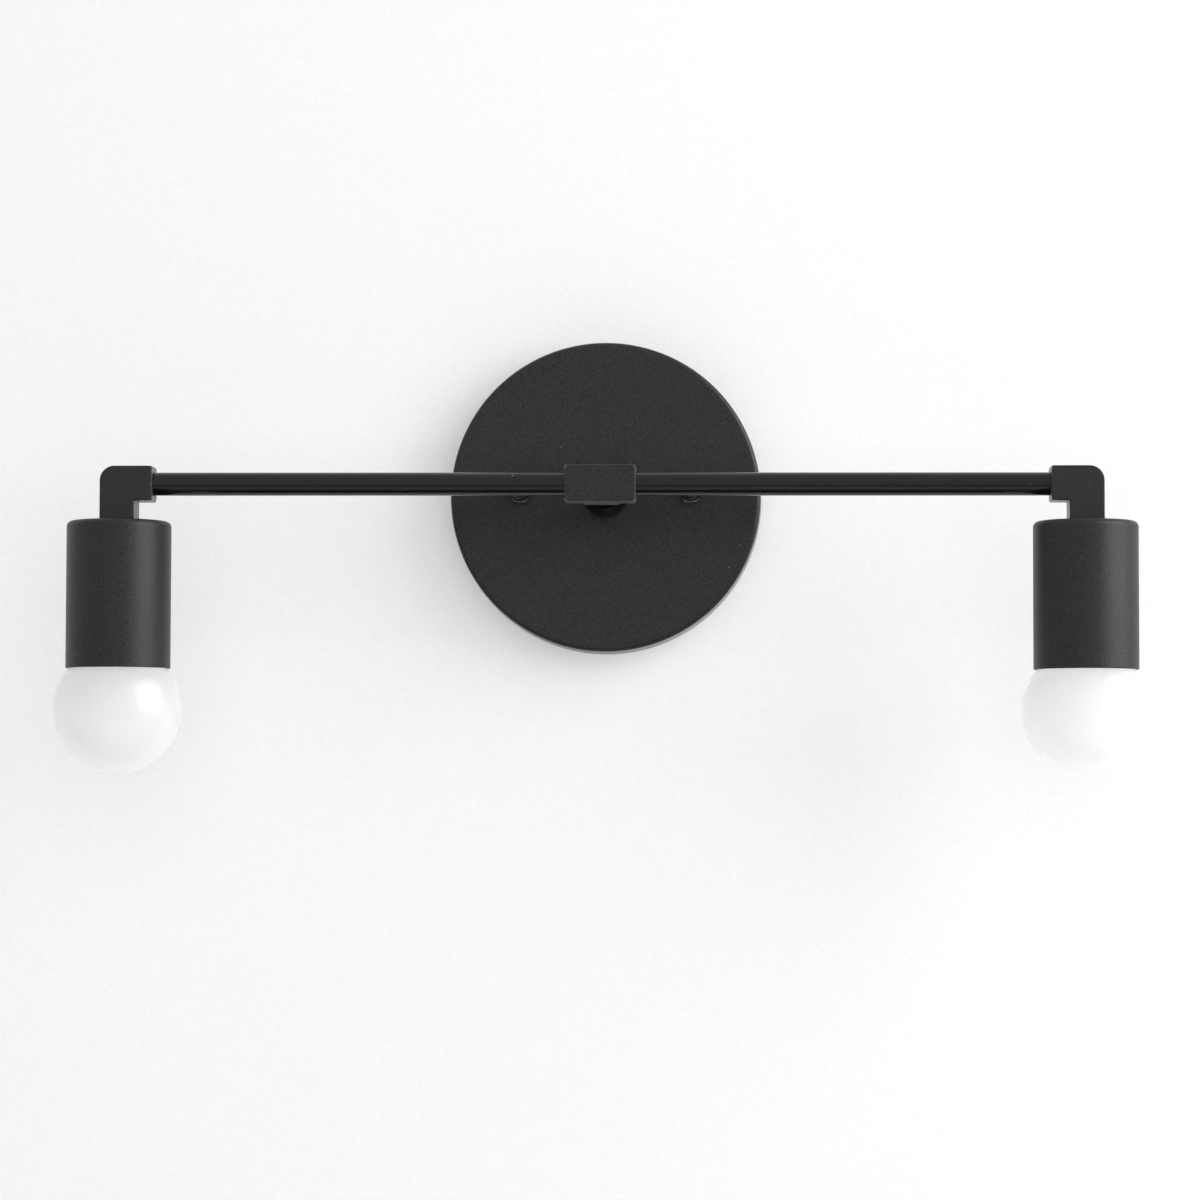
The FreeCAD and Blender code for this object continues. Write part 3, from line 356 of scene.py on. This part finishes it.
nut_paint = made_of("gloss black nut paint", coat_skin, {
    "Colour": (0.006, 0.006, 0.006), "Dust": (0.1, 0.1, 0.1), "Roughness": 0.13, "Grain": 900.0,
    "Mottle": 0.1, "Relief": 0.02}, {"Specular IOR Level": 0.9})
NUT_FLATS, NUT_HEIGHT, DOME_RADIUS = 0.00873, 0.0044, 0.0039
FOOT_RADIUS, FOOT_CHAMFER, TOP_CHAMFER, PAST_CORNERS = 0.00486, 0.00026, 0.00054, 0.0053
for side, tilt in (("left", 5), ("right", -1)):
    low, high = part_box(f"cap_nut_{side}")
    seat = Vector(((low.x + high.x) / 2, high.y, (low.z + high.z) / 2))
    nut = start(f"acorn_nut_{side}", bpy.ops.mesh.primitive_cylinder_add, vertices=6,
                radius=NUT_FLATS / 2 / math.cos(math.radians(30)), depth=NUT_HEIGHT,
                location=seat + TO_ROOM * NUT_HEIGHT / 2,
                rotation=(math.radians(90), math.radians(30 + tilt), 0))
    blank = turn("nut_blank", [
        (0, 0, 0), (FOOT_RADIUS, 0, 0), (PAST_CORNERS, FOOT_CHAMFER, 0),
        (PAST_CORNERS, NUT_HEIGHT - TOP_CHAMFER, 0), (NUT_FLATS / 2, NUT_HEIGHT, 0),
        (0, NUT_HEIGHT, 0)], seat, TO_ROOM, 72)
    carve(nut, blank, "INTERSECT")
    dome = start("nut_dome", bpy.ops.mesh.primitive_uv_sphere_add, segments=48, ring_count=24,
                 radius=DOME_RADIUS, location=seat + TO_ROOM * NUT_HEIGHT,
                 rotation=(math.radians(90), 0, 0))
    carve(nut, dome, "UNION")
    apply_modifier(nut, "BEVEL", width=0.0003, segments=3, limit_method="ANGLE",
                   angle_limit=math.radians(24))
    smooth(nut)
    fit(nut, nut_paint, "black_paint", "fixture", f"cap_nut_{side}")


# Hub: a square T of cast and machined metal in front of the canopy. Its three ends are turned on a
# lathe, which takes the corners off, and it wears the same powder coat.

END_FACE, ROUND_PART, SHARP = 0.61, 0.75, math.radians(28)
SEAT_DEPTH, SEAT_PLAY, OVERRUN = 0.0015, 0.0002, 0.001


def draw_out(piece, centre, way, start_at, reach):
    """Pulls the face on one side of the centre out to a new reach."""
    pick(piece, "FACE", lambda p: (p - centre - way * start_at).length < TOUCH)
    bpy.ops.mesh.extrude_region_move(TRANSFORM_OT_translate={"value": tuple(way * (reach - start_at))})


def turn_end(piece, section, centre, way, reach):
    """Turns the corners off a square end, as the lathe does, to shares of the section's width."""
    small, large, far = section * END_FACE, section * ROUND_PART, section * 3
    carve(piece, turn("turning", [
        (0, -far, 0), (far, -far, 0), (far, reach - large + small, 0),
        (large, reach - large + small, 0), (small, reach, 0), (0, reach, 0)],
        centre, way, 112), "INTERSECT")


def bore_end(piece, centre, way, reach):
    """Opens a shallow round seat for the tube in an end."""
    bore = tube_radius + SEAT_PLAY
    carve(piece, turn("drill", [
        (0, reach - SEAT_DEPTH, 0), (bore, reach - SEAT_DEPTH, 0), (bore, reach + OVERRUN, 0),
        (0, reach + OVERRUN, 0)], centre, way, 72), "DIFFERENCE")


def round_casting(piece, width=0.0005, segments=4):
    """Gives a casting's sharp edges the radius that its mould and the coat leave."""
    apply_modifier(piece, "BEVEL", width=width, segments=segments, limit_method="ANGLE",
                   angle_limit=SHARP)


def finish_casting(piece):
    """Cleans a casting and softens the edges that the lathe and the drill left sharp."""
    reopen(piece)
    bpy.ops.mesh.remove_doubles(threshold=TOUCH)
    bpy.ops.mesh.dissolve_limited(angle_limit=math.radians(0.5))
    round_casting(piece, 0.00015, 2)
    smooth(piece)


low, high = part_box("hub_block")
section = high.z - low.z
arm_axis = Vector((0, low.y + section / 2, 0))
hub = start("hub_casting", bpy.ops.mesh.primitive_cube_add, size=section, location=arm_axis)
hub_ends = ((RIGHT, high.x), (-RIGHT, -low.x), (-TO_ROOM, high.y - arm_axis.y))
for way, reach in hub_ends:
    draw_out(hub, arm_axis, way, section / 2, reach)
round_casting(hub)
for way, reach in hub_ends:
    turn_end(hub, section, arm_axis, way, reach)
    bore_end(hub, arm_axis, way, reach)
finish_casting(hub)
fit(hub, powder, "black_coat", "fixture", "hub_block")


# Arm tubes: two lengths of the same painted steel tube as the stem, one on each side of the hub. They
# are screwed into the hub and the elbows, and none of their thread shows.

for side, sign in SIDES:
    low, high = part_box(f"arm_tube_{side}")
    near, far = min(abs(low.x), abs(high.x)), max(abs(low.x), abs(high.x))
    arm = turn(f"arm_pipe_{side}", [
        (TUBE_BORE, near, 0.0002), (tube_radius, near, TUBE_ROUNDING),
        (tube_radius, far, TUBE_ROUNDING), (TUBE_BORE, far, 0.0002)],
        arm_axis, RIGHT * sign, 96, 3)
    smooth(arm, 30)
    fit(arm, satin, "black_paint", "fixture", f"arm_tube_{side}")


# Elbows: square castings with one large round outer corner and turned ends, in the powder coat. The
# arm enters from the side and a threaded nipple drops out of the foot into the cup.

OUTER_CORNER = 0.006
for side, sign in SIDES:
    low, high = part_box(f"elbow_{side}")
    section = high.y - low.y
    outward = RIGHT * sign
    corner = arm_axis + outward * (max(abs(low.x), abs(high.x)) - section / 2)
    across, drop = high.x - low.x - section / 2, corner.z - low.z
    elbow = start(f"elbow_casting_{side}", bpy.ops.mesh.primitive_cube_add, size=section,
                  location=corner)
    draw_out(elbow, corner, -outward, section / 2, across)
    draw_out(elbow, corner, -UP, section / 2, drop)
    top = corner + (outward + UP) * section / 2
    pick(elbow, "EDGE", lambda p: (p - top).length < TOUCH)
    bpy.ops.mesh.bevel(offset=OUTER_CORNER, segments=14, affect="EDGES")
    round_casting(elbow)
    turn_end(elbow, section, corner, -outward, across)
    bore_end(elbow, corner, -outward, across)
    turn_end(elbow, section, corner, -UP, drop)
    finish_casting(elbow)
    fit(elbow, powder, "black_coat", "fixture", f"elbow_{side}")


# Cups: drawn steel cups with a soft shoulder and a rolled lip, clamped under the elbows by a nipple,
# a washer and a locknut. Their coat has a coarser grain and a softer gloss than the canopy's.

cup_coat = made_of("satin black cup coat", coat_skin, {
    "Colour": (0.0095, 0.0095, 0.0095), "Dust": (0.14, 0.14, 0.14), "Roughness": 0.44,
    "Grain": 1600.0, "Mottle": 0.95, "Relief": 0.4}, {"Specular IOR Level": 0.36})
CUP_WALL, NIPPLE_HOLE = 0.0009, 0.0049
SHOULDER_ROUNDING, INSIDE_SHOULDER, LIP_ROUNDING = 0.0024, 0.0015, 0.00044
for side, sign in SIDES:
    low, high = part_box(f"cup_{side}")
    radius = (high.x - low.x) / 2
    axis = Vector(((low.x + high.x) / 2, arm_axis.y, 0))
    cup = turn(f"cup_shell_{side}", [
        (NIPPLE_HOLE, high.z, 0),
        (radius, high.z, SHOULDER_ROUNDING),
        (radius, low.z, LIP_ROUNDING),
        (radius - CUP_WALL, low.z, LIP_ROUNDING),
        (radius - CUP_WALL, high.z - CUP_WALL, INSIDE_SHOULDER),
        (NIPPLE_HOLE, high.z - CUP_WALL, 0)], axis, UP, 160, 10)
    smooth(cup)
    fit(cup, cup_coat, "black_coat", "fixture", f"cup_{side}")


# Lamp holders: glazed white ceramic with a plated screw shell and brass contacts, on straps inside the
# cups. Little of them shows until a bulb is screwed out.


def make_moulded_skin():
    """Moulded or glazed body: slow change of shade and a soft unevenness."""
    tree, entry, leave = new_skin("moulded skin", (
        ("Colour", "Color", (0.8, 0.8, 0.8, 1)), ("Shade", "Color", (0.7, 0.7, 0.7, 1)),
        ("Roughness", "Float", 0.3), ("Relief", "Float", 0.1)))
    where = put(tree, "TexCoord").outputs["Object"]
    slow = put(tree, "TexNoise", Vector=where, Scale=60, Detail=3, Roughness=0.5).outputs[0]
    fine = put(tree, "TexNoise", Vector=where, Scale=1100, Detail=2, Roughness=0.5).outputs[0]
    patch = put(tree, "MapRange", Value=slow, From_Min=0.35, From_Max=0.7).outputs[0]
    colour = blend_colours(tree, patch, entry.outputs["Colour"], entry.outputs["Shade"])
    gloss = around(tree, around(tree, entry.outputs["Roughness"], slow, 0.10), fine, 0.06)
    return close_skin(tree, entry, leave, colour, gloss, fine, 0.00006)


moulded_skin = make_moulded_skin()
dress(made_of("glazed ceramic", moulded_skin, {
    "Colour": (0.80, 0.78, 0.73), "Shade": (0.74, 0.71, 0.65), "Roughness": 0.22}),
    *both("lamp_holder"))
nickel = made_of("nickel plate", metal_skin, {
    "Colour": (0.68, 0.66, 0.62), "Bloom": (0.60, 0.57, 0.52), "Roughness": 0.26, "Relief": 0.15}, METAL)
dress(nickel, *both("screw_shell"))
dress(made_of("contact brass", metal_skin, {
    "Colour": (0.76, 0.56, 0.24), "Bloom": (0.62, 0.42, 0.16), "Roughness": 0.32}, METAL),
    *both("center_contact", "holder_rivets"))


# Globe bulbs: blown glass balls, white inside and glossy outside, on a nickel screw base with a rolled
# thread, a dark glass insulator and a solder tip. They hang in the cups and unscrew downward.

opal = made_of("opal glass", moulded_skin, {
    "Colour": (0.975, 0.975, 0.97), "Shade": (0.96, 0.96, 0.955), "Roughness": 0.18, "Relief": 0.01},
    {"Subsurface Weight": 1.0, "Subsurface Radius": (1.0, 1.0, 1.0), "Subsurface Scale": 0.4})
NECK_RADIUS, NECK_ROUNDING = 0.0124, 0.0022
THREAD_PITCH, THREAD_DEPTH = 0.0254 / 7, 0.001
THREAD_WAVE = ((0.0001, 0.16), (0.0005, 0.14), (0.0003, 0.12), (0.0001, 0.08),
               (-0.0001, 0.08), (-0.0003, 0.12), (-0.0005, 0.14), (-0.0001, 0.16))
THREAD_FOOT, PLAIN_ENDS, LEAD_IN = 0.0025, 0.003, 1.2 * THREAD_PITCH
for side, sign in SIDES:
    low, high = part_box(f"bulb_globe_{side}")
    base_low, base_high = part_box(f"bulb_base_{side}")
    ball_radius = (high.x - low.x) / 2
    centre = Vector(((low.x + high.x) / 2, (low.y + high.y) / 2, low.z + ball_radius))
    # The neck runs straight from the base to where it meets the ball at a tangent, the shoulder.
    reach = math.hypot(NECK_RADIUS, base_low.z - centre.z)
    slope = math.atan2(NECK_RADIUS, base_low.z - centre.z) + math.acos(ball_radius / reach)
    shoulder = centre.z + ball_radius * math.cos(slope)
    shrink = NECK_RADIUS / (ball_radius * math.sin(slope))
    globe = start(f"globe_glass_{side}", bpy.ops.mesh.primitive_uv_sphere_add, segments=128,
                  ring_count=96, radius=ball_radius, location=centre)
    bpy.ops.mesh.select_all(action="SELECT")
    bpy.ops.mesh.bisect(plane_co=(0, 0, shoulder), plane_no=(0, 0, 1), clear_outer=True)
    pick(globe, "EDGE", lambda p: abs(p.z - shoulder) < TOUCH)
    bpy.ops.mesh.extrude_region_move(TRANSFORM_OT_translate={"value": (0, 0, base_low.z - shoulder)})
    bpy.ops.transform.resize(value=(shrink, shrink, 1),
                             center_override=(centre.x, centre.y, base_low.z))
    bpy.ops.mesh.extrude_region_move(TRANSFORM_OT_translate={"value": (0, 0, high.z - base_low.z)})
    bpy.ops.mesh.edge_face_add()
    pick(globe, "EDGE", lambda p: abs(p.z - base_low.z) < TOUCH)
    bpy.ops.mesh.bevel(offset=NECK_ROUNDING, segments=6, affect="EDGES")
    smooth(globe, 50)
    fit(globe, opal, "opal_glass", f"bulb_body_{side}", f"bulb_globe_{side}")

    # One turn of the rolled thread is drawn as steps outward and along, in shares of the pitch, then
    # screwed up the axis and cut to length between the base's plain ends.
    base_radius = (base_high.x - base_low.x) / 2
    height = base_high.z - base_low.z
    base = start(f"screw_base_{side}", bpy.ops.mesh.primitive_plane_add, size=0.0001,
                 location=(base_radius - THREAD_DEPTH, 0, 0))
    bpy.ops.mesh.merge(type="CENTER")
    for across, rise in THREAD_WAVE:
        bpy.ops.mesh.extrude_region_move(
            TRANSFORM_OT_translate={"value": (across, 0, rise * THREAD_PITCH)})
    apply_modifier(base, "SCREW", screw_offset=THREAD_PITCH, iterations=7, steps=72,
                   render_steps=72, use_merge_vertices=True, merge_threshold=0.00001)
    reopen(base)
    for level, side_way in ((LEAD_IN, -1), (LEAD_IN + height - PLAIN_ENDS, 1)):
        bpy.ops.mesh.select_all(action="SELECT")
        bpy.ops.mesh.bisect(plane_co=(0, 0, level), plane_no=(0, 0, side_way), clear_outer=True,
                            use_fill=True)
    bpy.ops.mesh.select_all(action="SELECT")
    bpy.ops.transform.translate(value=(centre.x, centre.y, base_low.z + THREAD_FOOT - LEAD_IN))
    bpy.ops.mesh.normals_make_consistent(inside=False)
    for foot, top, reach in ((0, 0.0027, base_radius - 0.0002),
                             (height - 0.0008, height, base_radius - 0.0009)):
        band = turn("band", [(0, foot, 0), (reach, foot, 0.0003), (reach, top, 0.0003), (0, top, 0)],
                    Vector((centre.x, centre.y, base_low.z)), UP, 72, 4)
        carve(base, band, "UNION")
    smooth(base, 40)
    fit(base, nickel, "nickel_shell", f"bulb_body_{side}", f"bulb_base_{side}")

dress(made_of("dark base glass", moulded_skin, {
    "Colour": (0.03, 0.025, 0.04), "Shade": (0.05, 0.04, 0.06), "Roughness": 0.15}),
    *both("bulb_insulator"))
dress(made_of("solder", metal_skin, {
    "Colour": (0.60, 0.60, 0.60), "Bloom": (0.45, 0.45, 0.46), "Roughness": 0.45, "Relief": 0.5}, METAL),
    *both("bulb_tip"))
dress(made_of("stem glass", moulded_skin, {
    "Colour": (0.80, 0.84, 0.82), "Shade": (0.74, 0.80, 0.77), "Roughness": 0.08}),
    *both("bulb_mount"))
dress(made_of("tungsten", metal_skin, {
    "Colour": (0.32, 0.31, 0.30), "Bloom": (0.22, 0.21, 0.20), "Roughness": 0.5}, METAL),
    *both("bulb_filament"))


# Wiring: one black and one white insulated lead from each lamp holder, through the elbows, arm and
# stem into the canopy, where two ribbed orange splice caps of moulded plastic join them.

dress(made_of("black insulation", moulded_skin, {
    "Colour": (0.022, 0.022, 0.024), "Shade": (0.035, 0.035, 0.037), "Roughness": 0.45, "Relief": 0.3}),
    *both("black_lead"))
dress(made_of("white insulation", moulded_skin, {
    "Colour": (0.78, 0.77, 0.73), "Shade": (0.70, 0.69, 0.64), "Roughness": 0.45, "Relief": 0.3}),
    *both("white_lead"))
orange = made_of("orange plastic", moulded_skin, {
    "Colour": (0.80, 0.22, 0.03), "Shade": (0.70, 0.17, 0.02), "Roughness": 0.42, "Relief": 0.25})
CAP_BORE, CAP_DEPTH, TOP_RADIUS = 0.0035, 0.012, 0.0035
SKIRT_RADIUS, SKIRT_HEIGHT, GRIP_RADIUS, GRIP_START = 0.005, 0.004, 0.0046, 0.0045
RIB_ANGLE, RIB_FOOT, RIB_TOP = 15, 0.006, 0.001


def between_ribs(p, mouth, length):
    """Whether a face of a splice cap lies in a groove between two ribs."""
    turned = math.degrees(math.atan2(p.y - mouth.y, p.x - mouth.x)) % RIB_ANGLE < RIB_ANGLE / 2
    outside = math.hypot(p.x - mouth.x, p.y - mouth.y) > CAP_BORE + 0.0001
    return turned and outside and RIB_FOOT < abs(p.z - mouth.z) < length - RIB_TOP


for name, way in (("black_wire_nut", 1), ("white_wire_nut", -1)):
    low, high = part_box(name)
    length = high.z - low.z
    mouth = Vector(((low.x + high.x) / 2, (low.y + high.y) / 2, low.z if way > 0 else high.z))
    cap = turn(f"splice_cap_{name[:5]}", [
        (0, CAP_DEPTH, 0), (CAP_BORE, CAP_DEPTH, 0), (CAP_BORE, 0, 0), (SKIRT_RADIUS, 0, 0.0004),
        (SKIRT_RADIUS, SKIRT_HEIGHT, 0), (GRIP_RADIUS, GRIP_START, 0), (TOP_RADIUS, length, 0.0009),
        (0, length, 0)], mouth, UP * way, 48, 3)
    reopen(cap)
    pick(cap, "FACE", lambda p: between_ribs(p, mouth, length))
    bpy.ops.mesh.inset(thickness=0.00008, depth=-0.0003)
    smooth(cap, 30)
    fit(cap, orange, "orange_plastic", "fixture", name)


# Wall and floor: a white painted wall with a faint roller texture, open behind the canopy for its wiring
# box, and a plain pale floor well below. Both are clear from behind, so that the back can be seen.


def make_plaster_skin():
    """Rolled wall paint: a fine stipple in shade and relief."""
    tree, entry, leave = new_skin("plaster skin", (
        ("Colour", "Color", (0.9, 0.9, 0.9, 1)), ("Shade", "Color", (0.8, 0.8, 0.8, 1)),
        ("Relief", "Float", 0.5)))
    where = put(tree, "TexCoord").outputs["Object"]
    stipple = put(tree, "TexNoise", Vector=where, Scale=620, Detail=3, Roughness=0.6).outputs[0]
    patch = put(tree, "MapRange", Value=stipple, From_Min=0.35, From_Max=0.65).outputs[0]
    colour = blend_colours(tree, patch, entry.outputs["Colour"], entry.outputs["Shade"])
    gloss = around(tree, 0.85, stipple, 0.1)
    return close_skin(tree, entry, leave, colour, gloss, stipple, 0.0002)


plaster_skin = make_plaster_skin()
SHADE_SHARE, LIFT_SHARE = 0.965, 0.28


def backdrop(plane, name, colour, texture):
    """Finishes a large plane that is clear from its back, and a little paler where it is looked at."""
    clear()
    material = made_of(name, plaster_skin, {
        "Colour": colour, "Shade": tuple(SHADE_SHARE * part for part in colour), "Relief": texture},
        {"Specular IOR Level": 0.15})
    tree = material.node_tree
    path = put(tree, "LightPath")
    looked_at = put(tree, "Math", {"operation": "MAXIMUM"},
                    i0=path.outputs["Is Camera Ray"], i1=path.outputs["Is Glossy Ray"])
    share = put(tree, "Math", {"operation": "MULTIPLY"}, i0=looked_at.outputs[0], i1=LIFT_SHARE)
    pale = put(tree, "Emission", Color=(*colour, 1), Strength=1.0)
    lifted = put(tree, "MixShader", i0=share.outputs[0],
                 i1=tree.nodes["Principled BSDF"].outputs[0], i2=pale.outputs[0])
    behind = put(tree, "NewGeometry").outputs["Backfacing"]
    hidden = put(tree, "BsdfTransparent").outputs[0]
    mix = put(tree, "MixShader", i0=behind, i1=lifted.outputs[0], i2=hidden)
    tree.links.new(mix.outputs[0], tree.nodes["Material Output"].inputs["Surface"])
    plane.data.materials.append(material)
    plane.visible_shadow = False


WALL_RADIUS, BOX_OPENING, WALL_FACE = 3.6, 0.062, 0.0006
FLOOR_SIZE, FLOOR_LEVEL = 7, -1.5
wall = start("wall", bpy.ops.mesh.primitive_circle_add, vertices=96, radius=WALL_RADIUS,
             fill_type="NGON", location=(0, WALL_FACE, 0), rotation=(math.radians(90), 0, 0))
bpy.ops.mesh.select_mode(type="FACE")
bpy.ops.mesh.select_all(action="SELECT")
bpy.ops.mesh.inset(thickness=WALL_RADIUS - BOX_OPENING)
bpy.ops.mesh.delete(type="FACE")
backdrop(wall, "wall paint", (0.94, 0.94, 0.94), 0.4)
floor = start("floor", bpy.ops.mesh.primitive_plane_add, size=FLOOR_SIZE,
              location=(0, WALL_FACE - FLOOR_SIZE / 2, FLOOR_LEVEL))
backdrop(floor, "floor paint", (0.85, 0.85, 0.85), 0.3)


# Light: a broad soft window on the right and a fainter one in front, an even pale room, and two black
# cards, low in front, which only the gloss sees and which give the tubes their dark lines.

CARD_LENGTH, CARD_LEVEL = 5, -0.6
ROOM_LIGHT, ROOM_SEEN = 0.42, 0.88
for name, place, size, energy in (("side", (1.9, -0.85, 0.75), 1.9, 50),
                                  ("front", (0.5, -3.0, 0.5), 2.8, 31)):
    clear()
    bpy.ops.object.light_add(type="AREA", location=place)
    window = bpy.context.object
    window.name = f"{name}_window"
    window.rotation_euler = (-window.location).to_track_quat("-Z", "Y").to_euler()
    window.data.size, window.data.energy = size, energy
    window.visible_glossy = name == "side"
for name, out, width in (("low card", -0.19, 0.38), ("front card", -1.71, 0.5)):
    card = start(name.replace(" ", "_"), bpy.ops.mesh.primitive_plane_add, size=1,
                 location=(0, out, CARD_LEVEL))
    bpy.ops.transform.resize(value=(CARD_LENGTH, width, 1), center_override=(0, out, CARD_LEVEL))
    clear()
    card.data.materials.append(made_of(name, coat_skin, {
        "Colour": (0.01, 0.01, 0.01), "Roughness": 0.9}))
    card.visible_camera = card.visible_diffuse = False
    card.visible_shadow = card.visible_transmission = False
room = bpy.data.worlds.new("room")
bpy.context.scene.world = room
room.use_nodes = True
tree = room.node_tree
shone = tree.nodes["Background"]
shone.inputs["Color"].default_value = (1, 1, 1, 1)
shone.inputs["Strength"].default_value = ROOM_LIGHT
seen = put(tree, "Background", Color=(1, 1, 1, 1), Strength=ROOM_SEEN)
path = put(tree, "LightPath")
direct = path.outputs["Is Camera Ray"]
for ray in ("Is Glossy Ray", "Is Transmission Ray"):
    direct = put(tree, "Math", {"operation": "MAXIMUM"}, i0=direct, i1=path.outputs[ray]).outputs[0]
mix = put(tree, "MixShader", i0=direct, i1=shone.outputs[0], i2=seen.outputs[0])
tree.links.new(mix.outputs[0], tree.nodes["World Output"].inputs["Surface"])


# Camera: a long lens a metre and a half in front of the wall, a little right of the stem and below the
# arm. It looks slightly up and to the left, as the photograph was taken.

PLACE, YAW, PITCH, ROLL, LENS = (0.048122, -1.567618, -0.121522), 0.0325, 0.0499, -0.0023, 109.19
bpy.ops.object.camera_add(location=PLACE)
camera = bpy.context.object
facing = Matrix.Rotation(YAW, 3, "Z") @ Matrix.Rotation(PITCH, 3, "X") @ Matrix.Rotation(ROLL, 3, "Y")
camera.rotation_euler = (facing @ Matrix.Rotation(math.radians(90), 3, "X")).to_euler()
camera.data.sensor_width = 36
camera.data.lens = LENS
bpy.context.scene.camera = camera
bpy.context.scene.view_settings.view_transform = "Standard"
